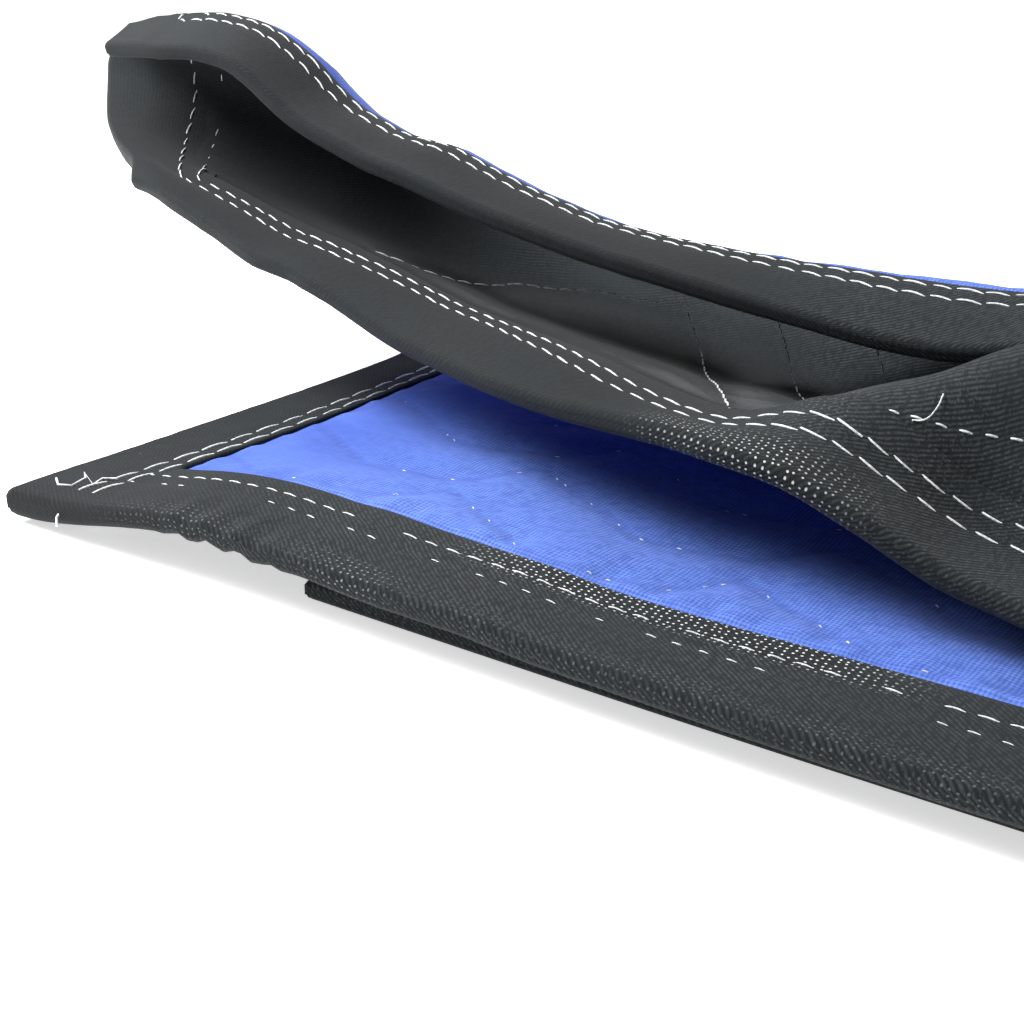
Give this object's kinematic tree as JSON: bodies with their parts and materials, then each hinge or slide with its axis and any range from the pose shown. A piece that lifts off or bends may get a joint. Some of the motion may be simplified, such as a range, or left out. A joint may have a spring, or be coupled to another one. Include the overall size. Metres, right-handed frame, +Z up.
{
  "type": "moving blanket",
  "caption": "Bound corner of a quilted moving blanket, blue and black, folded over on itself with a curled upper layer.",
  "frame": {"origin": "a point of the flat underside of the lowest layer, on the floor", "axes": "+X along the bound front edge from the free corner towards the fold, +Y back from that edge, +Z up"},
  "size_m": [0.4544, 0.19, 0.1026],
  "materials": {
    "black_cloth": "charcoal knit-backed woven cover, matt, quilted in zigzag rows",
    "blue_cloth": "mid-blue woven cover, matt, softly creased along its quilting",
    "binding_tape": "charcoal polyester twill binding with two rows of white lockstitch"
  },
  "bodies": {
    "root": {"black_panel": "black_cloth", "blue_panel": "blue_cloth", "edge_tape": "binding_tape", "under_edge_tape": "binding_tape"}
  },
  "joints": []
}
